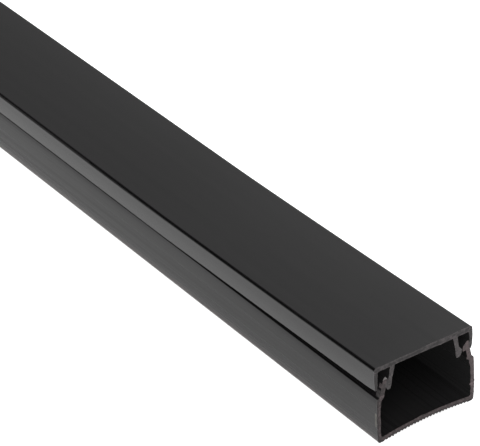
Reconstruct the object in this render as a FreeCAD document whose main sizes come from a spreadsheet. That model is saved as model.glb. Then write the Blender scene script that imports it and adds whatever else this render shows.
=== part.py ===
import FreeCAD, Part
import math
import os
import Sketcher

# A cord cover raceway: a channel and the cover that clips onto it, both extruded in rigid vinyl
# and sawn to the same length. X runs along the length, Y across and Z up. The origin is the
# middle of the underside, at the level of the two flat strips that the channel stands on.

SIZES = {
    # Both pieces
    "length": 398.8,
    "base_width": 25,
    # Channel: floor and walls
    "wall_belly": 0.17,
    "wall_thick": 0.85,
    "floor_thick": 1.2,
    "floor_bow": 0.85,
    "land_width": 0.7,
    "foot_round": 0.7,
    "inner_round": 0.5,
    "rib_pitch": 0.82,
    "rib_crest": 0.08,
    "rib_depth": 0.3,
    # Channel: shoulder, neck and barbed lip
    "shoulder_height": 11.1,
    "shoulder_round": 0.15,
    "haunch_drop": 2.4,
    "neck_thick": 1.08,
    "neck_lean": 0.6,
    "lip_bevel": 0.4,
    "lip_crest": 0.3,
    "lip_round": 0.2,
    "barb_reach": 1.2,
    "barb_depth": 2.2,
    "barb_face": 0.5,
    "barb_brow": 0.8,
    "barb_bevel": 0.2,
    "barb_undercut": 0.1,
    # Cover: top plate and skirts
    "cover_overhang": 0.15,
    "cover_thick": 1.2,
    "edge_round": 0.6,
    "skirt_depth": 5.8,
    "skirt_thick": 0.8,
    "skirt_turn": 4.4,
    "skirt_taper": 1.9,
    "tip_pinch": 0.25,
    "tip_thick": 0.3,
    "tip_round": 0.1,
    # Cover: legs and hooks
    "leg_thick": 1.3,
    "leg_splay": 0.4,
    "root_round": 0.3,
    "hook_overlap": 0.5,
    "hook_reach": 1.05,
    "hook_slope": 2.2,
    "hook_round": 0.2,
    "nose_face": 0.4,
    "toe_drop": 1.2,
    "toe_reach": 0.8,
    "toe_width": 0.45,
    "heel_reach": 0.3,
    "heel_rise": 0.7,
    # Clearances between the two pieces
    "reveal": 0.05,
    "skirt_gap": 0.08,
    "lip_gap": 0.15,
    "clip_gap": 0.35,
}

doc = FreeCAD.newDocument("cord_cover_raceway")
sheet = doc.addObject("Spreadsheet::Sheet", "Sizes")
for row, (alias, value) in enumerate(SIZES.items(), start=1):
    sheet.set(f"A{row}", alias)
    sheet.set(f"B{row}", str(value))
    sheet.setAlias(f"B{row}", alias)
doc.recompute()

# What a sketch calls the points of an edge, its own origin and its two axes
START, END = 1, 2
ORIGIN = (-1, 1)
FLOOR_LINE, MIDDLE_LINE = -1, -2

# Which way an arc turns as the outline is followed
LEFT, RIGHT = 1, -1

# How far a cut runs on past the skin that it goes through
OVERCUT = 0.2

# Points that are closer together than this are taken as one
SAME_PLACE = 0.001


def plane(body, role):
    """The body's own origin plane with this role."""
    return next(found for found in body.Origin.OriginFeatures if found.Role == role)


def section(body, name):
    """An empty sketch across the length: its first axis is Y and its second is Z."""
    sketch = body.newObject("Sketcher::SketchObject", name)
    sketch.AttachmentSupport = (plane(body, "YZ_Plane"), "")
    sketch.MapMode = "FlatFace"
    return sketch


def bind(sketch, kind, point, rule):
    """Hold a point's distance from the origin by a rule on the sheet's sizes."""
    now = float(sketch.evalExpression(rule))
    index = sketch.addConstraint(Sketcher.Constraint(kind, *ORIGIN, *point, now))
    sketch.setExpression(f"Constraints[{index}]", rule)


def arc_between(first, last, radius, turn):
    """The arc of a radius from one point to another, which turns left or right on its way."""
    chord = last - first
    sideways = FreeCAD.Vector(-chord.y, chord.x, 0).normalize() * turn
    centre = (first + last) / 2 + sideways * math.sqrt(radius ** 2 - chord.Length ** 2 / 4)
    circle = Part.Circle(centre, FreeCAD.Vector(0, 0, 1), radius)
    ends = (first, last) if turn == LEFT else (last, first)
    angles = [math.atan2(point.y - centre.y, point.x - centre.x) for point in ends]
    return Part.ArcOfCircle(circle, *angles)


def trace(sketch, corners, arcs=None):
    """Draw a closed outline through named corners, each a pair of rules for Y and Z.

    None for Y is a corner on the middle line, and None for Z one on the line Z = 0. The edge
    that leaves a corner named in arcs is an arc, with a rule for its radius and the way it
    turns, and every other edge is straight. The corners' places are returned.
    """
    arcs = arcs or {}
    names = list(corners)
    places = {}
    for name, rules in corners.items():
        y, z = (float(sketch.evalExpression(rule or "0")) for rule in rules)
        places[name] = FreeCAD.Vector(y, z, 0)
    ends = []
    for name, following in zip(names, names[1:] + names[:1]):
        first, last = places[name], places[following]
        if name in arcs:
            radius_rule, turn = arcs[name]
            radius = float(sketch.evalExpression(radius_rule))
            edge = sketch.addGeometry(arc_between(first, last, radius, turn))
            index = sketch.addConstraint(Sketcher.Constraint("Radius", edge, radius))
            sketch.setExpression(f"Constraints[{index}]", radius_rule)
            forwards = turn == LEFT
        else:
            edge = sketch.addGeometry(Part.LineSegment(first, last))
            forwards = True
        ends.append(((edge, START), (edge, END)) if forwards else ((edge, END), (edge, START)))
    for (_, end), (start, _) in zip(ends, ends[1:] + ends[:1]):
        sketch.addConstraint(Sketcher.Constraint("Coincident", *end, *start))
    for (start, _), (y_rule, z_rule) in zip(ends, corners.values()):
        if y_rule:
            bind(sketch, "DistanceX", start, y_rule)
        else:
            sketch.addConstraint(Sketcher.Constraint("PointOnObject", *start, MIDDLE_LINE))
        if z_rule:
            bind(sketch, "DistanceY", start, z_rule)
        else:
            sketch.addConstraint(Sketcher.Constraint("PointOnObject", *start, FLOOR_LINE))
    return places


def extrude(body, sketch):
    """Pad a section to the full length, half of it each way along X."""
    pad = body.newObject("PartDesign::Pad", f"{body.Name}_pad")
    pad.Profile = sketch
    pad.SideType = "Symmetric"
    pad.setExpression("Length", "Sizes.length")
    doc.recompute()
    return pad


def round_off(body, feature, places, names, radius_rule):
    """Fillet the lengthwise edges at the named corners of the section."""
    wanted = []
    for number, edge in enumerate(feature.Shape.Edges, start=1):
        first, last = edge.Vertexes[0].Point, edge.Vertexes[-1].Point
        if abs(last.x - first.x) < SAME_PLACE:
            continue
        for name in names:
            corner = FreeCAD.Vector(first.x, places[name].x, places[name].y)
            if first.distanceToPoint(corner) < SAME_PLACE:
                wanted.append(f"Edge{number}")
    if len(wanted) != len(names):
        raise RuntimeError(f"{body.Name}: {len(wanted)} edges found for {names}")
    fillet = body.newObject("PartDesign::Fillet", f"{body.Name}_{names[0]}_round")
    fillet.Base = (feature, wanted)
    fillet.setExpression("Radius", radius_rule)
    doc.recompute()
    return fillet


def mirror_half(body):
    """Complete the body from its +Y half."""
    mirrored = body.newObject("PartDesign::Mirrored", f"{body.Name}_other_half")
    mirrored.TransformMode = "Whole shape"
    mirrored.MirrorPlane = (plane(body, "XZ_Plane"), [""])
    body.Tip = mirrored
    doc.recompute()


def bow_radius(half_chord, rise):
    """The rule for the radius of an arc that rises this far over half its chord."""
    return f"((pow({half_chord}; 2) + pow({rise}; 2)) / (2 * {rise}))"


# Rules that both pieces follow, for the +Y half
foot_side = "Sizes.base_width / 2"
outer_side = f"({foot_side} + Sizes.cover_overhang)"
cover_seat = "(Sizes.shoulder_height + Sizes.reveal)"
plate_under = "(Sizes.skirt_depth - Sizes.cover_thick)"
tip_side = f"({outer_side} - Sizes.tip_pinch)"
tip_inside = f"({tip_side} - Sizes.tip_thick)"
neck_outside = f"({tip_inside} - Sizes.skirt_gap)"
neck_inside = f"({neck_outside} - Sizes.neck_thick)"
barb_tip = f"({neck_inside} - Sizes.barb_reach)"
lip_height = f"({cover_seat} + {plate_under} - Sizes.lip_gap)"
barb_height = f"({lip_height} - Sizes.barb_depth)"

# Channel. The floor bows up between two flat strips, so that the glue or tape under it has room,
# and its underside is ribbed lengthwise to key into them. The walls belly out a little. Each
# steps in at a shoulder, where the cover's skirt lands, to a neck that leans inwards, and the
# barb at the neck's top points down and in to hold the cover's hook.
land_start = f"({foot_side} - Sizes.foot_round - Sizes.land_width)"
floor_side = f"({foot_side} - Sizes.wall_thick)"
lip_back = f"({neck_outside} - Sizes.neck_lean)"
crest_side = f"({lip_back} - Sizes.lip_bevel / 2)"
underside_radius = bow_radius(land_start, "Sizes.floor_bow")
channel = doc.addObject("PartDesign::Body", "base_channel")
channel.Label = "base_channel"
channel_section = section(channel, "channel_section")
channel_places = trace(channel_section, {
    "under_middle": (None, "Sizes.floor_bow"),
    "land": (land_start, None),
    "foot": (foot_side, None),
    "shoulder": (foot_side, "Sizes.shoulder_height"),
    "neck_foot": (neck_outside, "Sizes.shoulder_height"),
    "lip_back": (lip_back, f"{lip_height} - Sizes.lip_bevel"),
    "lip_crest": (crest_side, lip_height),
    "barb_crest": (f"{crest_side} - Sizes.lip_crest", lip_height),
    "barb_brow": (
        f"{barb_tip} + Sizes.barb_bevel",
        f"{barb_height} + Sizes.barb_face + Sizes.barb_brow"),
    "barb_tip": (barb_tip, f"{barb_height} + Sizes.barb_face"),
    "barb_point": (f"{barb_tip} + Sizes.barb_bevel / 2", barb_height),
    "barb_root": (
        f"{neck_inside} - Sizes.neck_lean / 2", f"{barb_height} + Sizes.barb_undercut"),
    "neck_inside": (neck_inside, "Sizes.shoulder_height"),
    "haunch": (floor_side, "Sizes.shoulder_height - Sizes.haunch_drop"),
    "floor_corner": (floor_side, "Sizes.floor_thick"),
    "floor_middle": (None, "Sizes.floor_thick + Sizes.floor_bow"),
}, arcs={
    "under_middle": (underside_radius, RIGHT),
    "foot": (bow_radius("Sizes.shoulder_height / 2", "Sizes.wall_belly"), LEFT),
    "floor_corner": (bow_radius(floor_side, "Sizes.floor_bow"), LEFT),
})
channel_half = extrude(channel, channel_section)
for corner_names, radius_rule in (
    (["foot"], "Sizes.foot_round"),
    (["floor_corner", "haunch"], "Sizes.inner_round"),
    (["shoulder"], "Sizes.shoulder_round"),
    (["lip_back", "lip_crest", "barb_crest", "barb_brow", "barb_tip", "barb_point", "barb_root"],
     "Sizes.lip_round"),
):
    channel_half = round_off(channel, channel_half, channel_places, corner_names, radius_rule)

# Ribs under the floor: one V groove at the middle of the bow, turned about the bow's centre
groove_half = "((Sizes.rib_pitch - Sizes.rib_crest) / 2)"
groove_section = section(channel, "groove_section")
groove_section.setExpression("AttachmentOffset.Base.y", f"Sizes.floor_bow - {underside_radius}")
doc.recompute()
mouth = f"{groove_half} * (1 + {OVERCUT} / Sizes.rib_depth)"
trace(groove_section, {
    "left": (f"-{mouth}", f"{underside_radius} - {OVERCUT}"),
    "right": (mouth, f"{underside_radius} - {OVERCUT}"),
    "top": (None, f"{underside_radius} + Sizes.rib_depth"),
})
groove = channel.newObject("PartDesign::Pocket", "groove")
groove.Profile = groove_section
groove.SideType = "Symmetric"
groove.setExpression("Length", f"Sizes.length + {OVERCUT}")
doc.recompute()
if groove.Shape.Volume >= channel_half.Shape.Volume:
    raise RuntimeError("the groove cuts nothing")
grooves = channel.newObject("PartDesign::PolarPattern", "grooves")
grooves.Originals = [groove]
grooves.Axis = (groove_section, ["N_Axis"])
grooves.Reversed = True
grooves.Mode = "Spacing"
grooves.setExpression("Offset", f"Sizes.rib_pitch / {underside_radius} * 1 rad")
grooves.setExpression(
    "Occurrences", f"1 + floor(({land_start} - {groove_half}) / Sizes.rib_pitch)")
channel.Tip = grooves
doc.recompute()
mirror_half(channel)

# Cover. A flat top plate with a skirt down each side, which curves in a little to its tip, and
# two legs that splay outwards. Each leg slopes out to a hook that springs under a barb, and
# narrows below it to a toe that slides down past. The piece is drawn from its skirts' tips up.
hook_height = (
    f"({barb_height} - {cover_seat} - Sizes.clip_gap"
    " - Sizes.hook_overlap * Sizes.hook_slope / Sizes.hook_reach)")
skirt_inside = f"({outer_side} - Sizes.skirt_thick)"
nose_side = f"({barb_tip} + Sizes.hook_overlap)"
ankle_side = f"({nose_side} - Sizes.hook_reach)"
leg_side = f"({ankle_side} - Sizes.leg_splay)"
toe_height = f"({hook_height} - Sizes.nose_face - Sizes.toe_drop)"
toe_side = f"({nose_side} - Sizes.toe_reach)"
cover = doc.addObject("PartDesign::Body", "snap_cover")
cover.Label = "snap_cover"
cover.setExpression("Placement.Base.z", cover_seat)
cover_section = section(cover, "cover_section")
cover_places = trace(cover_section, {
    "top_middle": (None, "Sizes.skirt_depth"),
    "top_edge": (outer_side, "Sizes.skirt_depth"),
    "skirt_turn": (outer_side, "Sizes.skirt_turn"),
    "tip_outside": (tip_side, None),
    "tip_inside": (tip_inside, None),
    "taper_end": (skirt_inside, "Sizes.skirt_taper"),
    "skirt_root": (skirt_inside, plate_under),
    "leg_root": (leg_side, plate_under),
    "ankle": (ankle_side, f"{hook_height} + Sizes.hook_slope"),
    "nose_top": (nose_side, hook_height),
    "nose_foot": (nose_side, f"{hook_height} - Sizes.nose_face"),
    "toe_outside": (toe_side, toe_height),
    "toe_inside": (f"{toe_side} - Sizes.toe_width", toe_height),
    "heel": (
        f"{toe_side} - Sizes.toe_width - Sizes.heel_reach", f"{toe_height} + Sizes.heel_rise"),
    "leg_back": (f"{leg_side} - Sizes.leg_thick", plate_under),
    "under_middle": (None, plate_under),
}, arcs={
    "skirt_turn": (bow_radius("Sizes.skirt_turn", "Sizes.tip_pinch"), RIGHT),
})
cover_half = extrude(cover, cover_section)
for corner_names, radius_rule in (
    (["top_edge"], "Sizes.edge_round"),
    (["tip_outside", "tip_inside"], "min(Sizes.tip_round; Sizes.tip_thick / 3)"),
    (["skirt_root", "leg_root", "leg_back"], "Sizes.root_round"),
    (["nose_top", "nose_foot", "toe_outside", "toe_inside"], "Sizes.hook_round"),
):
    cover_half = round_off(cover, cover_half, cover_places, corner_names, radius_rule)
mirror_half(cover)

os.makedirs("parts", exist_ok=True)
doc.recompute()
for item in doc.Objects:
    if "Invalid" in item.State or "Error" in item.State:
        raise RuntimeError(f"{item.Name} failed: {item.State}")
for piece in (channel, cover):
    if piece.Shape.isNull() or not piece.Shape.isValid() or len(piece.Shape.Solids) != 1:
        raise RuntimeError(f"{piece.Label} isn't one valid solid")
for piece in (channel, cover):
    piece.Shape.exportStep(f"parts/{piece.Label}.step")
    print(piece.Label, round(piece.Shape.Volume), piece.Shape.BoundBox)
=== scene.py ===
import math
import bpy
import numpy as np
from mathutils import Matrix, Vector


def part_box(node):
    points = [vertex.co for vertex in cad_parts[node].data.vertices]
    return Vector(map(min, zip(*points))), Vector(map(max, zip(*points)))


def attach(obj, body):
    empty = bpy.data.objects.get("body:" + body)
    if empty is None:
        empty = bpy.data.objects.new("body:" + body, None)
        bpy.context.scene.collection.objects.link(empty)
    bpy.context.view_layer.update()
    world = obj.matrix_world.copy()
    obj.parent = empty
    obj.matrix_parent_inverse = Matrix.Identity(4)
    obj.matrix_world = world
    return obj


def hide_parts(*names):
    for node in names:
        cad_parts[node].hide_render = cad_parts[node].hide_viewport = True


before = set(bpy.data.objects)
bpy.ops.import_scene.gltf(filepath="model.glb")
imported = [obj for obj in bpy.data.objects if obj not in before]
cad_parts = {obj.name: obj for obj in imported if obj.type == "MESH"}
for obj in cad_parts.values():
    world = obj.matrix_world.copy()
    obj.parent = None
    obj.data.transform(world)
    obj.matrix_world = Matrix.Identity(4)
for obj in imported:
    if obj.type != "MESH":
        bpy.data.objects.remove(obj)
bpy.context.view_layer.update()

# Base channel
# The lower extrusion, in rigid black vinyl, pushed hot through a die and sawn to length: a ribbed
# floor bowed up between two flat strips, and walls that step in to necks with barbed lips on top.

# Sections are drawn in millimetres, Y across and Z up, and become metres as a mesh is filled
MM = 0.001
_, channel_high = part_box("base_channel")
half_length = channel_high.x / MM
lip_height = channel_high.z / MM
wall_belly = 0.17
right_belly = 0.13
wall_thick = 0.85
foot_side = channel_high.y / MM - wall_belly
foot_round = 0.7
land_width = 0.7
floor_thick = 1.2
floor_bow = 0.8
inner_round = 0.5
shoulder_height = 11.1
shoulder_round = 0.15
haunch_drop = 0.55
haunch_swell = 0.22
swell_drop = 2.8
neck_outside = 12.02
neck_thick = 1.08
neck_lean = 0.6
lip_bevel = 0.4
lip_crest = 0.3
lip_round = 0.2
barb_reach = 1.2
barb_depth = 2.2
barb_face = 0.5
barb_brow = 0.8
barb_bevel = 0.2
barb_undercut = 0.1
rib_pitch = 0.82
rib_crest = 0.08
rib_depth = 0.3

neck_inside = neck_outside - neck_thick
land_start = foot_side - foot_round - land_width
floor_side = foot_side - wall_thick
lip_back = neck_outside - neck_lean
crest_side = lip_back - lip_bevel / 2
barb_tip = neck_inside - barb_reach
barb_height = lip_height - barb_depth

# Corners of the +Y half, from the foot round the wall to the floor: Y, Z and radius
channel_half = np.array([
    (foot_side, 0, foot_round),
    (foot_side, shoulder_height, shoulder_round),
    (neck_outside, shoulder_height, shoulder_round / 2),
    (lip_back, lip_height - lip_bevel, lip_round),
    (crest_side, lip_height, lip_round),
    (crest_side - lip_crest, lip_height, lip_round),
    (barb_tip + barb_bevel, barb_height + barb_face + barb_brow, lip_round),
    (barb_tip, barb_height + barb_face, lip_round),
    (barb_tip + barb_bevel / 2, barb_height, lip_round),
    (neck_inside - neck_lean / 2, barb_height + barb_undercut, lip_round),
    (neck_inside, shoulder_height, lip_round),
    (floor_side - haunch_swell, shoulder_height - haunch_drop, lip_round),
    (floor_side, shoulder_height - swell_drop, inner_round),
    (floor_side, floor_thick, inner_round),
])


def unit(vectors):
    """Each vector divided by its own length."""
    return vectors / np.linalg.norm(vectors, axis=-1, keepdims=True)


def both_halves(half):
    """A closed list of corners: the +Y half, then itself in reverse with its Y turned round."""
    return np.vstack([half, half[::-1] * [-1, 1, 1]])


def rounded(corners, steps=7):
    """The closed outline through the corners, with an arc of each corner's radius in its place.

    An arc ends radius / tan(half the corner's angle) along both edges, and its centre lies
    radius / sin(half the angle) along their bisector. Its points turn evenly from one end's
    spoke to the other's, each a blend by the sines of the angles still to go and already gone.
    """
    places, radii = corners[:, :2], corners[:, 2]
    back = unit(np.roll(places, 1, axis=0) - places)
    onward = unit(np.roll(places, -1, axis=0) - places)
    half_angle = np.arccos(np.clip((back * onward).sum(axis=1), -1, 1)) / 2
    setback = (radii / np.tan(half_angle))[:, None]
    centre = places + unit(back + onward) * (radii / np.sin(half_angle))[:, None]
    first = places + back * setback - centre
    last = places + onward * setback - centre
    turn = (math.pi - 2 * half_angle)[:, None, None]
    share = np.linspace(0, 1, steps)[None, :, None]
    arc = np.sin((1 - share) * turn) * first[:, None] + np.sin(share * turn) * last[:, None]
    return (centre[:, None] + arc / np.sin(turn)).reshape(-1, 2)


def filled_in(outline, spacing=0.3):
    """The closed outline with its long edges divided.

    An edge gets its length over the spacing as its number of parts, and the parts' ends sit at
    half of one minus the cosine of their share of a half turn, so that they crowd to the corners.
    """
    edges = np.roll(outline, -1, axis=0) - outline
    parts = np.maximum(1, np.round(np.linalg.norm(edges, axis=1) / spacing)).astype(int)
    edge = np.repeat(np.arange(len(outline)), parts)
    part = np.arange(parts.sum()) - np.repeat(np.cumsum(parts) - parts, parts)
    share = (1 - np.cos(math.pi * part / parts[edge])) / 2
    return outline[edge] + edges[edge] * share[:, None]


def underside(samples=7, root_blend=0.1):
    """The ribbed underside from one flat strip's edge to the other's, before it is bowed.

    Grooves stand a pitch apart, and each is a V whose depth falls evenly to its mouth. The
    distance from its middle is made round at the root: it is the square root of its own
    square plus the blend's.
    """
    half_mouth = (rib_pitch - rib_crest) / 2
    outermost = math.floor((land_start - half_mouth) / rib_pitch)
    across = np.linspace(-1, 1, samples)
    groove = np.arange(-outermost, outermost + 1)[:, None] * rib_pitch
    y = (groove + across * half_mouth).ravel()
    round_distance = np.sqrt(across ** 2 + root_blend ** 2)
    depth = rib_depth * np.clip(1 + root_blend / 2 - round_distance, 0, 1)
    ribs = np.stack([y, np.tile(depth, 2 * outermost + 1)], axis=1)
    return np.vstack([[-land_start, 0], ribs, [land_start, 0]])


def bowed(outline):
    """The floor raised by its bow: a parabola, whole at the middle and nothing at the two ends.

    The underside's parabola ends at the flat strips, and the inside's at the walls.
    """
    y, z = outline.T
    reach = np.where(z < floor_thick / 2, land_start, floor_side)
    rise = floor_bow * np.clip(1 - (y / reach) ** 2, 0, 1)
    on_floor = z < floor_thick + 2 * inner_round
    return np.stack([y, np.where(on_floor, z + rise, z)], axis=1)


def stations(finest=0.04, growth=1.42, longest=9.0):
    """Places along X from the far end to the near one: steps grow from both sawn ends inwards."""
    steps = np.minimum(finest * growth ** np.arange(60), longest)
    inward = np.concatenate([[0], np.cumsum(steps)])
    inward = inward[inward < half_length - longest]
    middle = np.linspace(-1, 1, 5) * (half_length - inward[-1] - longest / 2)
    return np.concatenate([inward - half_length, middle[1:-1], half_length - inward[::-1]])


def looseness(x, reach=83.4, power=1.28):
    """How far the cover has sprung at x: nothing past the reach, then rising to one by a power."""
    return np.clip(1 + (x - half_length) / reach, 0, 1) ** power


def ragged(count, knots, seed):
    """Seeded numbers from 0 to 1 at evenly spaced knots round an outline, joined by straight runs."""
    values = np.random.default_rng(seed).random(knots)
    values = np.append(values, values[0])
    return np.interp(np.linspace(0, 1, count, endpoint=False), np.linspace(0, 1, knots + 1), values)


def outward(outline):
    """The direction off the outline at each point: the run from the last to the next, turned right."""
    along = unit(np.roll(outline, -1, axis=0) - np.roll(outline, 1, axis=0))
    return np.stack([along[:, 1], -along[:, 0]], axis=1)


def carried(outline, x, shift, torn, seed):
    """The outline carried along X, as an array of stations by points by three coordinates.

    Shift gives each point's move across and up at each station. At both sawn ends the rim
    stands out by a ragged burr with a few spikes, and by what torn says on top of it. It fades
    inwards by the exponential of minus the square of the depth over the rim's own depth, as
    does the unevenness of the cut along X.
    """
    burr_least, burr_range, spike_length, spike_gain, spike_start = 0.015, 0.04, 0.2, 2.2, 1.3
    shortest_tooth, rim_depth, uneven_cut = 0.15, 0.09, 0.05
    spike_knots, burr_knots, cut_knots, tooth_knots = 210, 260, 90, 430
    count = len(outline)
    y, z = outline.T
    dy, dz = shift(x[:, None], y[None, :], z[None, :])
    spikes = np.clip(ragged(count, spike_knots, seed) * spike_gain - spike_start, 0, 1)
    burr = burr_least + burr_range * ragged(count, burr_knots, seed + 1) + spike_length * spikes ** 2
    teeth = shortest_tooth + (1 - shortest_tooth) * ragged(count, tooth_knots, seed + 3)
    burr = burr + torn * teeth
    depth = half_length - np.abs(x)
    fade = np.exp(-(depth / rim_depth) ** 2)[:, None]
    normal = outward(outline)
    y = y + dy + burr * fade * normal[:, 0]
    z = z + dz + burr * fade * normal[:, 1]
    slant = (ragged(count, cut_knots, seed + 2) - 0.5) * uneven_cut
    x = x[:, None] + np.sign(x)[:, None] * slant * fade
    return np.stack([x + np.zeros_like(y), y, z], axis=2)


def extrusion(name, outline, along, grid, materials, sharp_turn=38):
    """A closed mesh over the grid: quads between stations, and one face on each sawn end.

    The first material covers it, and the second its ends and the quads next to them. Each point
    also keeps its depth from the near end and its place in the drawn section, in millimetres,
    for the finishes. An edge is sharp where it turns by more degrees than the sharp turn.
    """
    rings, count = grid.shape[:2]
    ring, point = np.meshgrid(np.arange(rings - 1), np.arange(count), indexing="ij")
    following = (point + 1) % count
    quads = np.stack([
        ring * count + point,
        ring * count + following,
        (ring + 1) * count + following,
        (ring + 1) * count + point,
    ], axis=2).reshape(-1, 4)
    far_end = np.arange(count)[::-1]
    near_end = np.arange(count) + (rings - 1) * count
    mesh = bpy.data.meshes.new(name)
    mesh.vertices.add(rings * count)
    mesh.vertices.foreach_set("co", (grid * MM).astype(np.float32).ravel())
    loops = np.concatenate([quads.ravel(), far_end, near_end])
    mesh.loops.add(len(loops))
    mesh.loops.foreach_set("vertex_index", loops.astype(np.int32))
    starts = np.concatenate([np.arange(len(quads)) * 4, len(quads) * 4 + np.array([0, count])])
    mesh.polygons.add(len(starts))
    mesh.polygons.foreach_set("loop_start", starts.astype(np.int32))
    for material in materials:
        mesh.materials.append(material)
    sawn = np.zeros(len(starts), np.int32)
    sawn[-2:] = 1
    sawn[:count] = 1
    sawn[len(quads) - count:len(quads)] = 1
    mesh.polygons.foreach_set("material_index", sawn)
    mesh.update(calc_edges=True)
    mesh.validate()
    depth = np.repeat(half_length - along, count)
    drawn = np.column_stack([depth, np.tile(outline, (rings, 1))])
    place = mesh.attributes.new("drawn_place", "FLOAT_VECTOR", "POINT")
    place.data.foreach_set("vector", drawn.astype(np.float32).ravel())
    mesh.shade_smooth()
    mesh.set_sharp_from_angle(angle=math.radians(sharp_turn))
    piece = bpy.data.objects.new(name, mesh)
    bpy.context.scene.collection.objects.link(piece)
    return piece


def texture(tree, stretch, scale, detail):
    """Noise on Object coordinates, drawn out along the axes by the stretch, in features per metre."""
    place = tree.nodes.new("ShaderNodeTexCoord")
    drawn = tree.nodes.new("ShaderNodeMapping")
    drawn.inputs["Scale"].default_value = stretch
    noise = tree.nodes.new("ShaderNodeTexNoise")
    noise.inputs["Scale"].default_value = scale
    noise.inputs["Detail"].default_value = detail
    tree.links.new(place.outputs["Object"], drawn.inputs["Vector"])
    tree.links.new(drawn.outputs["Vector"], noise.inputs["Vector"])
    return noise.outputs["Fac"]


def spread(tree, value, low, high):
    """A value from 0.3 to 0.7, as noise gives it, spread out from low to high."""
    ranged = tree.nodes.new("ShaderNodeMapRange")
    for socket, limit in (("From Min", 0.3), ("From Max", 0.7), ("To Min", low), ("To Max", high)):
        ranged.inputs[socket].default_value = limit
    tree.links.new(value, ranged.inputs["Value"])
    return ranged.outputs["Result"]


def blend(tree, share, first, second):
    """Two colours mixed by a share, each a socket or three numbers."""
    mixed = tree.nodes.new("ShaderNodeMix")
    mixed.data_type = "RGBA"
    for name, colour in (("A", first), ("B", second)):
        socket = next(found for found in mixed.inputs if found.name == name and found.type == "RGBA")
        if isinstance(colour, tuple):
            socket.default_value = (*colour, 1)
        else:
            tree.links.new(colour, socket)
    tree.links.new(share, mixed.inputs["Factor"])
    return next(found for found in mixed.outputs if found.type == "RGBA")


def relief(tree, height, strength, distance):
    """A bump from a height, as far as the distance in metres."""
    bump = tree.nodes.new("ShaderNodeBump")
    bump.inputs["Strength"].default_value = strength
    bump.inputs["Distance"].default_value = distance
    tree.links.new(height, bump.inputs["Height"])
    return bump.outputs["Normal"]


def worked(tree, operation, *values):
    """A value worked out from one, two or three others, each a socket or a number."""
    worked_out = tree.nodes.new("ShaderNodeMath")
    worked_out.operation = operation
    for socket, value in zip(worked_out.inputs, values):
        if isinstance(value, (int, float)):
            socket.default_value = value
        else:
            tree.links.new(value, socket)
    return worked_out.outputs[0]


def three_ways(tree, vector):
    """A vector's parts, as the outputs X, Y and Z."""
    apart = tree.nodes.new("ShaderNodeSeparateXYZ")
    tree.links.new(vector, apart.inputs["Vector"])
    return apart.outputs


def drawn_place(tree):
    """A point's depth from the near end as X, and its place in the section as Y and Z."""
    place = tree.nodes.new("ShaderNodeAttribute")
    place.attribute_name = "drawn_place"
    return three_ways(tree, place.outputs["Vector"])


def stepped(tree, value, stops):
    """A curve of straight runs through stops, each a value from nothing up and the result there."""
    ramp = tree.nodes.new("ShaderNodeValToRGB")
    reach = stops[-1][0]
    points = ramp.color_ramp.elements
    while len(points) < len(stops):
        points.new(0.5)
    for point, (place, result) in zip(points, stops):
        point.position = place / reach
        point.color = (result, result, result, 1)
    tree.links.new(worked(tree, "DIVIDE", value, reach), ramp.inputs["Fac"])
    return ramp.outputs["Color"]


def between(tree, value, low, high):
    """One where a value lies between two numbers, and nothing elsewhere."""
    above = worked(tree, "GREATER_THAN", value, low)
    return worked(tree, "MULTIPLY", above, worked(tree, "LESS_THAN", value, high))


def new_finish(name):
    """A new material, with its node tree and its shader."""
    material = bpy.data.materials.new(name)
    material.use_nodes = True
    return material, material.node_tree, material.node_tree.nodes["Principled BSDF"]


def extruded_vinyl(name, smooth, rough, line_depth):
    """Black rigid vinyl as it leaves the die: satin, with faint lines drawn along the length.

    Its roughness runs from smooth to rough with the lines. The relief is the lines plus a small
    share of a fine grain.
    """
    between_lines, on_lines = (0.0075, 0.0072, 0.0075), (0.012, 0.0113, 0.0117)
    grain_share, relief_strength = 0.15, 0.5
    material, tree, shader = new_finish(name)
    shader.inputs["IOR"].default_value = 1.5
    lines = texture(tree, (4, 1400, 1400), 1.0, 3.0)
    grain = texture(tree, (1, 1, 1), 5200.0, 2.0)
    colour = blend(tree, spread(tree, lines, 0, 1), between_lines, on_lines)
    tree.links.new(colour, shader.inputs["Base Color"])
    tree.links.new(spread(tree, lines, smooth, rough), shader.inputs["Roughness"])
    height = worked(tree, "MULTIPLY_ADD", grain, grain_share, lines)
    tree.links.new(relief(tree, height, relief_strength, line_depth), shader.inputs["Normal"])
    return material


def in_hollow(tree, side, top):
    """One where a point lies nearer the middle than the side and under the top, nothing elsewhere."""
    place = drawn_place(tree)
    return worked(tree, "MULTIPLY",
                  between(tree, place["Y"], -side, side),
                  between(tree, place["Z"], 0, top))


def glossed(material, side, top, gloss_stops, shade_stops):
    """Set a vinyl's gloss by height, as the stops say, and make it a little higher by the cut.

    Where the cover is seated, painted shade takes a share of the gloss, also by height. In the
    hollow inside the side and under the top, most of the gloss is taken away, as painted shade.
    """
    hollow_shade_share = 0.85
    tree = material.node_tree
    place = drawn_place(tree)
    near_cut = stepped(tree, place["X"], [(0, 1.1), (3, 1.08), (8, 1.01), (12, 1.0)])
    seated = stepped(tree, place["X"], [(0, 0), (70, 0), (98, 1), (400, 1)])
    gloss = worked(tree, "MULTIPLY", stepped(tree, place["Z"], gloss_stops), near_cut)
    shaded = worked(tree, "MULTIPLY", stepped(tree, place["Z"], shade_stops), seated)
    hollow_shade = worked(tree, "MULTIPLY", in_hollow(tree, side, top), hollow_shade_share)
    for taken in (shaded, hollow_shade):
        gloss = worked(tree, "MULTIPLY", gloss, worked(tree, "SUBTRACT", 1, taken))
    tree.links.new(gloss, tree.nodes["Principled BSDF"].inputs["Specular IOR Level"])


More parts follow.
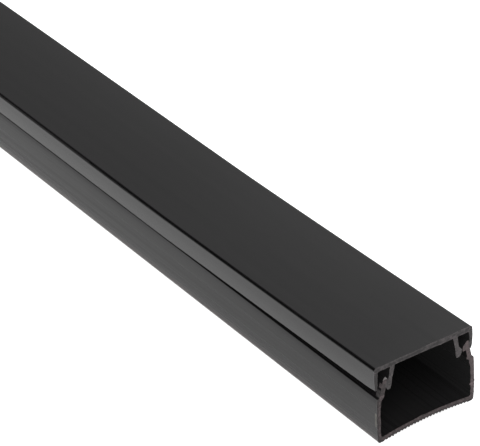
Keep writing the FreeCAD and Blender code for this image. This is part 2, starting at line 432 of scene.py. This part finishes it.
def painted_hollow_glow(material, side, top, hollow_glow_stops):
    """Paint light into the hollow inside the side and under the top: a faint glow on its deep black.

    The strength is a thousandth of what the stops say, by how far across towards +Y a point
    lies, times a number that falls with the depth from the near end.
    """
    thousandth = 0.001
    tree = material.node_tree
    shader = tree.nodes["Principled BSDF"]
    place = drawn_place(tree)
    hollow_glow = worked(tree, "MULTIPLY", stepped(tree, place["Y"], hollow_glow_stops), thousandth)
    by_depth = stepped(tree, place["X"], [(0, 1.35), (8, 1.05), (20, 0.6), (400, 0.5)])
    hollow_glow = worked(tree, "MULTIPLY", hollow_glow, by_depth)
    hollow_glow = worked(tree, "MULTIPLY", in_hollow(tree, side, top), hollow_glow)
    shader.inputs["Emission Color"].default_value = (1, 1, 1, 1)
    tree.links.new(hollow_glow, shader.inputs["Emission Strength"])


def patch_light_and_tone(material, across_range, height_range, depth_range, colour):
    """Give a finish another colour, in patches, within a range across, in height and in depth."""
    tree = material.node_tree
    base_colour = tree.nodes["Principled BSDF"].inputs["Base Color"]
    unpatched_colour = base_colour.links[0].from_socket
    place = drawn_place(tree)
    patches = spread(tree, texture(tree, (0.3, 1, 1), 1300.0, 2.0), 0.4, 1.2)
    for axis, (low, high) in (("Y", across_range), ("Z", height_range), ("X", depth_range)):
        patches = worked(tree, "MULTIPLY", patches, between(tree, place[axis], low, high))
    tree.links.new(blend(tree, patches, unpatched_colour, colour), base_colour)


def sawn_vinyl(name, dull, pale, bands):
    """The cut face: dragged by the saw to a dull pinkish grey, grained and finely scored.

    Its colour runs from dull to pale with the grain and the scores. Each band moves that,
    unevenly, within a range across and in height of the section.
    """
    relief_strength, relief_depth = 0.6, 0.00006
    material, tree, shader = new_finish(name)
    shader.inputs["IOR"].default_value = 1.5
    shader.inputs["Roughness"].default_value = 0.62
    place = drawn_place(tree)
    grain = texture(tree, (1, 1, 1), 1700.0, 3.0)
    scores = texture(tree, (1, 700, 3800), 1.0, 2.0)
    uneven = spread(tree, texture(tree, (1, 1, 1), 1000.0, 1.0), 0.3, 1.7)
    paleness = worked(tree, "ADD", spread(tree, grain, 0.2, 0.7), spread(tree, scores, -0.15, 0.15))
    for across_range, height_range, change in bands:
        here = worked(tree, "MULTIPLY",
                      between(tree, place["Y"], *across_range),
                      between(tree, place["Z"], *height_range))
        moved = worked(tree, "MULTIPLY", worked(tree, "MULTIPLY", here, uneven), change)
        paleness = worked(tree, "ADD", paleness, moved)
    tree.links.new(blend(tree, paleness, dull, pale), shader.inputs["Base Color"])
    height = worked(tree, "ADD", grain, scores)
    tree.links.new(relief(tree, height, relief_strength, relief_depth), shader.inputs["Normal"])
    return material


def painted_groove_shade(material):
    """Painted shade: dark notches run a little way up the cut face from the grooves under the floor.

    The shade is deepest where the cosine of a full turn a pitch is one, and fades with the
    height over the underside, whose bow is a parabola.
    """
    tree = material.node_tree
    mixed = tree.nodes["Principled BSDF"].inputs["Base Color"].links[0].from_node
    paleness = mixed.inputs["Factor"].links[0].from_socket
    place = drawn_place(tree)
    squared = worked(tree, "POWER", worked(tree, "DIVIDE", place["Y"], land_start), 2)
    bow = worked(tree, "MULTIPLY", worked(tree, "SUBTRACT", 1, squared), floor_bow)
    over_skin = worked(tree, "SUBTRACT", place["Z"], bow)
    turns = worked(tree, "MULTIPLY", place["Y"], 2 * math.pi / rib_pitch)
    wave = worked(tree, "ADD", worked(tree, "COSINE", turns), 1)
    near_skin = stepped(tree, over_skin, [(0, 0.6), (0.35, 0.5), (0.7, 0), (2, 0)])
    groove_shade = worked(tree, "MULTIPLY", wave, near_skin)
    tree.links.new(worked(tree, "SUBTRACT", paleness, groove_shade), mixed.inputs["Factor"])


def channel_shift(x, y, z):
    """How the walls depart from the drawn section, across and up.

    Each wall bellies out by a parabola from foot to shoulder, both its faces alike. On the -Y
    side, at the near end, the lip leans in by a power of its height over the bend, and the saw
    has dragged its crest up. The +Y shoulder has spread by a bell: the exponential of minus the
    square of the distance from its middle height over its reach.
    """
    wall_start, wall_blend, bend_drop = 0.6, 0.5, 1.2
    lean, lean_power, dragged, crest_power, dragged_depth = 0.62, 1.2, 0.25, 6, 0.5
    spread_out, spread_height, spread_reach = 0.12, 10.7, 2.0
    up_wall = np.clip(z / shoulder_height, 0, 1)
    on_wall = np.clip((np.abs(y) - floor_side + wall_start) / wall_blend, 0, 1) * np.sign(y)
    size = np.where(y > 0, wall_belly + right_belly * looseness(x), wall_belly)
    belly = 4 * size * up_wall * (1 - up_wall) * on_wall
    bend_height = shoulder_height - bend_drop
    up_lip = np.clip((z - bend_height) / (lip_height - bend_height), 0, 1)
    bell = np.exp(-((z - spread_height) / spread_reach) ** 2)
    leaning = np.where(y < 0, lean * up_lip ** lean_power, spread_out * bell)
    crest = np.where(y < 0, dragged * up_lip ** crest_power, 0)
    at_end = np.exp(-((half_length - x) / dragged_depth) ** 2)
    return belly + leaning * looseness(x), crest * at_end


def torn_wall(outline):
    """How long the saw's teeth of torn vinyl are inside the +Y wall, at each point of the outline.

    They stand in patches, each a length times a bell over its middle height: the exponential of
    minus the square of the distance from the middle over the patch's half height.
    """
    patches = [(4.4, 0.14, 0.6), (4.8, 0.6, 0.3), (7.4, 1.0, 0.16), (9.8, 0.8, 0.42), (11.3, 0.25, 0.5)]
    lowest, highest = 2.0, shoulder_height + 0.8
    y, z = outline.T
    inside = (y > neck_inside - 0.4) & (y < floor_side + 0.05) & (z > lowest) & (z < highest)
    teeth = np.zeros_like(z)
    for middle, half_height, length in patches:
        teeth += length * np.exp(-((z - middle) / half_height) ** 2)
    return np.where(inside, teeth, 0)


along = stations()
channel_drawn = np.vstack([rounded(both_halves(channel_half)), underside()])
channel_outline = bowed(filled_in(channel_drawn, spacing=0.17))

# The vinyl's gloss, painted shade and painted glow, as heights or places across and what they give
# there
channel_vinyl = extruded_vinyl("channel_vinyl", smooth=0.24, rough=0.4, line_depth=0.00003)
channel_hollow = (floor_side + 0.1, lip_height + 1)
# Painted shade by gloss: it falls towards the shoulder and is gone on the necks and lips, and the shade
# stops take more of it where the cover is seated
glossed(channel_vinyl, *channel_hollow, [
    (0, 0.56), (1.5, 0.49), (2.1, 0.4), (2.8, 0.38), (7.0, 0.385), (8.3, 0.36),
    (9.8, 0.335), (10.9, 0.3), (11.05, 0.3), (11.25, 0), (lip_height, 0),
], [
    (0, 0), (9.0, 0), (9.8, 0.1), (10.6, 0.27), (11.0, 0.36), (11.1, 0.2), (lip_height, 0),
])
painted_hollow_glow(channel_vinyl, *channel_hollow, [
    (0, 1.7), (7, 2.0), (floor_side - 0.4, 2.4), (floor_side - 0.2, 4.8), (floor_side + 1, 4.8),
])

# Paler along the foot all the length, and a little paler just above it on the -Y wall. Beside the cut,
# painted light: a highlight down the -Y wall, and the -Y neck painted lit where the skirt's shade stops
# short of the cut. A range that reaches beyond the outline takes in all that lies on that side.
beyond = 1.0
whole_length = (0, 2 * half_length)
left_face = (-foot_side - beyond, -floor_side - 0.3)
left_neck = (-neck_outside - 0.1, -11)
patch_light_and_tone(channel_vinyl, (-foot_side - beyond, foot_side + beyond), (-beyond, 1.1), whole_length,
       (0.1, 0.083, 0.082))
patch_light_and_tone(channel_vinyl, left_face, (1.1, 1.9), whole_length, (0.035, 0.029, 0.029))
patch_light_and_tone(channel_vinyl, left_face, (4.2, 7.5), (0.15, 0.72), (0.125, 0.117, 0.097))
patch_light_and_tone(channel_vinyl, left_neck, (11.25, 12.9), (-beyond, 1.3), (0.085, 0.08, 0.08))
patch_light_and_tone(channel_vinyl, left_neck, (13.4, 14.4), (-beyond, 0.9), (0.15, 0.127, 0.13))

# The cut is darker down the -Y wall, its lip and the floor, and paler at one tear. At the -Y crest
# it carries a painted highlight
wall_skin, wall_edge, crest_start = 12.15, 11, lip_height - 0.4
left_lip, left_crest = (-12, -9), (-12, -10)
sawn_channel = sawn_vinyl("sawn_channel", (0.020, 0.0135, 0.0140), (0.152, 0.112, 0.115), [
    ((-foot_side - beyond, -wall_skin), (0, shoulder_height), -0.45),
    ((-wall_skin, -wall_edge), (0, shoulder_height), -0.18),
    ((-foot_side - beyond, -wall_edge), (0, 5.5), -0.16),
    (left_lip, (shoulder_height + 0.5, crest_start), -0.32),
    (left_crest, (crest_start, lip_height + beyond), 0.5),
    ((11, 12.2), (3.6, 4.6), 0.35),
    ((-wall_edge, foot_side + beyond), (0, 2.1), -0.16),
])
# Painted shade up the cut face over the grooves under the floor
painted_groove_shade(sawn_channel)
# Painted highlight on the -Y crest's burr, beside the cut
patch_light_and_tone(sawn_channel, left_crest, (lip_height - 0.45, lip_height + beyond), (-beyond, 1),
       (0.2, 0.193, 0.19))
channel = extrusion(
    "channel_extrusion",
    channel_outline,
    along,
    carried(channel_outline, along, channel_shift, torn_wall(channel_outline), seed=11),
    [channel_vinyl, sawn_channel],
)
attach(channel, "root")
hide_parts("base_channel")

# Clip-on cover
# The upper extrusion, in the same vinyl: a plate with a skirt down each side and two legs whose hooks
# catch under the barbs. It has sprung up by two millimetres at the near end and is seated further in.

cover_low, cover_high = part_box("snap_cover")
cover_side = cover_high.y / MM
top_height = cover_high.z / MM
toe_height = cover_low.z / MM
cover_thick = 1.2
edge_round = 0.47
skirt_depth = 5.7
skirt_thick = 0.8
skirt_turn = 4.4
skirt_bend = 34.0
skirt_taper = 1.4
tip_pinch = 0.25
tip_thick = 0.4
tip_round = 0.1
leg_thick = 1.1
leg_splay = 0.49
knee_thick = 0.86
knee_rise = 1.1
root_round = 0.3
hook_overlap = 0.42
hook_reach = 0.9
hook_slope = 1.1
hook_round = 0.2
nose_face = 0.4
toe_drop = 1.2
toe_reach = 0.64
toe_width = 0.57
heel_reach = 0.3
heel_rise = 0.7

plate_under = top_height - cover_thick
skirt_tip = top_height - skirt_depth
skirt_inside = cover_side - skirt_thick
tip_side = cover_side - tip_pinch
nose_side = barb_tip + hook_overlap
nose_height = toe_height + toe_drop + nose_face
ankle_side = nose_side - hook_reach
leg_side = ankle_side - leg_splay
toe_side = nose_side - toe_reach

# Corners of the +Y half, from the leg's inside round its hook and the skirt to the top edge
cover_half = np.array([
    (leg_side - leg_thick, plate_under, root_round),
    (ankle_side - knee_thick, nose_height + knee_rise, inner_round),
    (toe_side - toe_width - heel_reach, toe_height + heel_rise, hook_round),
    (toe_side - toe_width, toe_height, hook_round),
    (toe_side, toe_height, hook_round),
    (nose_side, nose_height - nose_face, hook_round),
    (nose_side, nose_height, hook_round),
    (ankle_side, nose_height + hook_slope, hook_round),
    (leg_side, plate_under, root_round),
    (skirt_inside, plate_under, root_round),
    (skirt_inside, skirt_tip + skirt_taper, hook_round),
    (tip_side - tip_thick, skirt_tip, tip_round),
    (tip_side, skirt_tip, tip_round),
    (cover_side, skirt_tip + skirt_turn / 2, skirt_bend),
    (cover_side, top_height, edge_round),
])


def cover_shift(x, y, z):
    """How the cover departs from the drawn section, across and up.

    The whole section moves with the looseness: it rises, and slips towards the -Y side. Where it
    isn't sprung, it is settled onto its seat, and its skirts are drawn down a little more. The
    barbs push each leg in by a power of its distance below the plate, the -Y leg and skirt lean
    as a whole, and the +Y skirt bulges out by half a sine wave down its height. The plate thins
    evenly towards the -Y side. By the cut, the saw has pushed the toes and the skirts' tips up,
    by a power of how far down they are.
    """
    rise, slip, settled, drawn_down, seated_gain = 2.03, -0.41, 0.04, 0.12, 6
    squeeze, squeeze_power, bulge = 0.2, 1.2, 0.15
    root_lean, root_start, toe_lean, skirt_lean = 0.25, 0.1, 0.29, 0.13
    thinning, thin_start, thin_run, thin_blend = 0.24, 6, 10, 0.5
    pushed, toe_share, pushed_power, pushed_depth = 0.24, 0.5, 6, 1.5
    loose = looseness(x)
    on_leg = np.abs(y) < nose_side + 0.2
    on_left_leg = on_leg & (y < 0)
    on_left_skirt = y < 0.3 - skirt_inside
    on_right_skirt = y > skirt_inside - 0.3
    below_plate = np.clip((plate_under - z) / (plate_under - nose_height), 0, None)
    below_root = np.clip((top_height - root_start - z) / cover_thick, 0, 1)
    down_skirt = np.clip((top_height - z) / skirt_depth, 0, 1)
    down_leg = np.clip((plate_under - z) / (plate_under - toe_height), 0, 1)
    bend = np.where(on_leg, -np.sign(y) * squeeze * below_plate ** squeeze_power, 0)
    bend = bend + np.where(on_left_leg, root_lean * below_root - toe_lean * below_plate, 0)
    bend = bend + np.where(on_right_skirt, bulge * np.sin(math.pi * down_skirt), 0)
    bend = bend - np.where(on_left_skirt, skirt_lean * down_skirt, 0)
    at_plate = np.clip(1 - (plate_under - z) / thin_blend, 0, 1) * (z < plate_under + 0.2)
    towards_left = np.clip((thin_start - y) / thin_run, 0, 1)
    thinned = thinning * towards_left * at_plate * (np.abs(y) < skirt_inside + 0.1)
    far_down = np.where(on_leg, toe_share * down_leg ** pushed_power, down_skirt ** pushed_power)
    pushed_up = pushed * far_down * np.exp(-((half_length - x) / pushed_depth) ** 2)
    tight = np.clip(1 - seated_gain * loose, 0, 1)
    seated = settled + drawn_down * np.where(on_leg, 0, down_skirt) * tight
    return (slip + bend) * loose, rise * loose - seated * (1 - loose) + thinned + pushed_up


def brightened(material, side, stops):
    """Raise a vinyl's gloss across the piece: by the stops, over the distance from its -Y side."""
    tree = material.node_tree
    gloss = tree.nodes["Principled BSDF"].inputs["Specular IOR Level"]
    as_set = gloss.links[0].from_socket
    from_side = worked(tree, "ADD", drawn_place(tree)["Y"], side)
    tree.links.new(worked(tree, "MULTIPLY", as_set, stepped(tree, from_side, stops)), gloss)


cover_outline = filled_in(rounded(both_halves(cover_half)))
cover_vinyl = extruded_vinyl("cover_vinyl", smooth=0.2, rough=0.27, line_depth=0.000008)
cover_hollow = (skirt_inside + 0.1, plate_under + 0.1)
# Painted shade by gloss: a dark line along the rounded top edges, made wider where the cover is seated
glossed(cover_vinyl, *cover_hollow, [
    (0, 0.485), (top_height - 0.72, 0.485), (top_height - 0.52, 0.05), (top_height - 0.2, 0.05),
    (top_height, 0.5),
], [
    (0, 0), (top_height - 0.9, 0), (top_height - 0.72, 0.85), (top_height - 0.5, 0.85),
    (top_height - 0.4, 0), (top_height, 0),
])
# Painted light: a faint glow in the cover's hollow, under the plate and inside the skirts
painted_hollow_glow(cover_vinyl, *cover_hollow, [(0, 3.4), (6, 2.8), (7.4, 3.4), (cover_side, 4.4)])
brightened(cover_vinyl, cover_side, [
    (0, 0.99), (3, 1.0), (10, 1.02), (16, 1.1), (21, 1.2), (2 * cover_side, 1.27),
])

# Painted shade: the rounded -Y edge is darkened twice over near the cut, and once for some way beyond
left_edge = (-cover_side - beyond, -cover_side + 0.8)
for darkened_length in (60, 110):
    patch_light_and_tone(cover_vinyl, left_edge, (top_height - 0.62, top_height - 0.12), (0, darkened_length),
           (0.002, 0.002, 0.002))

# The cut is darker on the legs, the plate and the skirts, and paler along the plate's two edges
across_plate = (-cover_side - beyond, cover_side + beyond)
sawn_cover = sawn_vinyl("sawn_cover", (0.018, 0.0153, 0.0158), (0.145, 0.125, 0.128), [
    ((-nose_side, nose_side), (0, plate_under), -0.16),
    (across_plate, (plate_under, top_height + beyond), -0.42),
    ((-cover_side - beyond, -skirt_inside), (0, plate_under), -0.82),
    ((skirt_inside, cover_side + beyond), (0, plate_under), -0.34),
    (across_plate, (plate_under, plate_under + 0.25), 0.2),
    (across_plate, (top_height - 0.3, top_height + beyond), 0.2),
])
cover = extrusion(
    "cover_extrusion",
    cover_outline,
    along,
    carried(cover_outline, along, cover_shift, torn=0, seed=37),
    [cover_vinyl, sawn_cover],
)
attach(cover, "root")
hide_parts("snap_cover")

# Studio
# A pale floor, a white surround, a soft wall of light behind the object and a soft lamp over it.
# None of it belongs to the object.


def rays(tree, camera, mirror):
    """A strength for rays from the camera, and another for those off gloss and through glass."""
    path = tree.nodes.new("ShaderNodeLightPath").outputs
    bounced = worked(tree, "MAXIMUM", path["Is Glossy Ray"], path["Is Transmission Ray"])
    return worked(tree, "ADD",
                  worked(tree, "MULTIPLY", path["Is Camera Ray"], camera),
                  worked(tree, "MULTIPLY", bounced, mirror))


def object_place(tree):
    """A point's place on its own object, in metres, as the outputs X, Y and Z."""
    return three_ways(tree, tree.nodes.new("ShaderNodeTexCoord").outputs["Object"])


def stage_plane(name, size, height, material):
    """A square of one face, level, at a height."""
    mesh = bpy.data.meshes.new(name)
    reach = size / 2
    corners = [(-reach, -reach), (reach, -reach), (reach, reach), (-reach, reach)]
    mesh.from_pydata([(x, y, height) for x, y in corners], [], [(0, 1, 2, 3)])
    mesh.materials.append(material)
    plane = bpy.data.objects.new(name, mesh)
    bpy.context.scene.collection.objects.link(plane)
    return plane


floor_paint, tree, shader = new_finish("floor_paint")
tree.nodes.remove(shader)
matt = tree.nodes.new("ShaderNodeBsdfDiffuse")
matt.inputs["Color"].default_value = (0.8, 0.8, 0.8, 1)
glow = tree.nodes.new("ShaderNodeEmission")
mirrored_floor = stepped(tree, object_place(tree)["X"], [
    (0, 0.45), (0.03, 0.45), (0.10, 0.43), (0.14, 0.414), (0.165, 0.414), (0.185, 0.46), (0.3, 0.46),
])
tree.links.new(rays(tree, 0.85, mirrored_floor), glow.inputs["Strength"])
both = tree.nodes.new("ShaderNodeAddShader")
tree.links.new(matt.outputs["BSDF"], both.inputs[0])
tree.links.new(glow.outputs["Emission"], both.inputs[1])
tree.links.new(both.outputs["Shader"], tree.nodes["Material Output"].inputs["Surface"])
floor = stage_plane("floor", 8.0, 0.0, floor_paint)

world = bpy.data.worlds.new("white_surround")
bpy.context.scene.world = world
world.use_nodes = True
tree = world.node_tree
background = tree.nodes["Background"]
background.inputs["Color"].default_value = (1, 1, 1, 1)
ambient = 0.6
surround = worked(tree, "MAXIMUM", rays(tree, 1.0, 1.0), ambient)
tree.links.new(surround, background.inputs["Strength"])


def light_tent(radius, rings=24, spokes=48):
    """Half a sphere over the object: rings evenly spaced in height angle, spokes evenly round."""
    height = np.linspace(0, math.pi / 2, rings)[:, None]
    round_it = np.linspace(0, 2 * math.pi, spokes, endpoint=False)[None, :]
    x = radius * np.cos(height) * np.cos(round_it)
    y = radius * np.cos(height) * np.sin(round_it)
    z = radius * np.sin(height) + np.zeros_like(x)
    grid = np.stack([x, y, z], axis=2).reshape(-1, 3)
    ring, spoke = np.meshgrid(np.arange(rings - 1), np.arange(spokes), indexing="ij")
    following = (spoke + 1) % spokes
    quads = np.stack([
        ring * spokes + spoke,
        (ring + 1) * spokes + spoke,
        (ring + 1) * spokes + following,
        ring * spokes + following,
    ], axis=2).reshape(-1, 4)
    mesh = bpy.data.meshes.new("light_tent")
    mesh.from_pydata(grid.tolist(), [], quads.tolist())
    tent = bpy.data.objects.new("light_tent", mesh)
    bpy.context.scene.collection.objects.link(tent)
    return tent


tent_cloth, tree, shader = new_finish("tent_cloth")
tree.nodes.remove(shader)
glow = tree.nodes.new("ShaderNodeEmission")
falloff = tree.nodes.new("ShaderNodeMapRange")
tent_radius, dark_below, whole_above, brightest = 3.0, 0.176, 0.776, 0.82
falloff.inputs["From Min"].default_value = dark_below * tent_radius
falloff.inputs["From Max"].default_value = whole_above * tent_radius
falloff.inputs["To Min"].default_value = 0.0
falloff.inputs["To Max"].default_value = brightest
tree.links.new(object_place(tree)["Y"], falloff.inputs["Value"])
tree.links.new(falloff.outputs["Result"], glow.inputs["Strength"])
tree.links.new(glow.outputs["Emission"], tree.nodes["Material Output"].inputs["Surface"])
tent = light_tent(tent_radius)
tent.data.materials.append(tent_cloth)
tent.visible_camera = False
tent.visible_diffuse = False
tent.visible_shadow = False
tent.visible_transmission = False

lamp_data = bpy.data.lights.new("soft_lamp", "AREA")
lamp_data.shape = "SQUARE"
lamp_data.size = 0.9
lamp_data.energy = 9.0
lamp = bpy.data.objects.new("soft_lamp", lamp_data)
lamp_place = Vector((0.9, -0.3, 1.3))
lamp.location = lamp_place
lamp.rotation_mode = "QUATERNION"
lamp.rotation_quaternion = (-lamp_place).to_track_quat("-Z", "Y")
bpy.context.scene.collection.objects.link(lamp)

# Camera: low over the near end, from the -Y side, and turned a little about its own line of sight
azimuth, elevation, roll = 0.994018, 0.560529, -0.056063
image_width, focal_pixels = 480, 2652.3
aside, above, distance = 0.0387195, -0.0412659, 0.551593
back = Vector((
    math.sin(azimuth) * math.cos(elevation),
    -math.cos(azimuth) * math.cos(elevation),
    math.sin(elevation),
))
level = (-back).cross(Vector((0, 0, 1))).normalized()
upright = level.cross(-back)
right = math.cos(roll) * level + math.sin(roll) * upright
up = -math.sin(roll) * level + math.cos(roll) * upright
eye = Vector((half_length * MM, 0, 0)) - aside * right - above * up + distance * back
camera_data = bpy.data.cameras.new("camera")
camera_data.sensor_width = 36
camera_data.lens = focal_pixels * camera_data.sensor_width / image_width
camera_data.clip_end = 50
camera = bpy.data.objects.new("camera", camera_data)
camera.matrix_world = Matrix((
    (right.x, up.x, back.x, eye.x),
    (right.y, up.y, back.y, eye.y),
    (right.z, up.z, back.z, eye.z),
    (0, 0, 0, 1),
))
bpy.context.scene.collection.objects.link(camera)
bpy.context.scene.camera = camera
bpy.context.scene.view_settings.view_transform = "Standard"
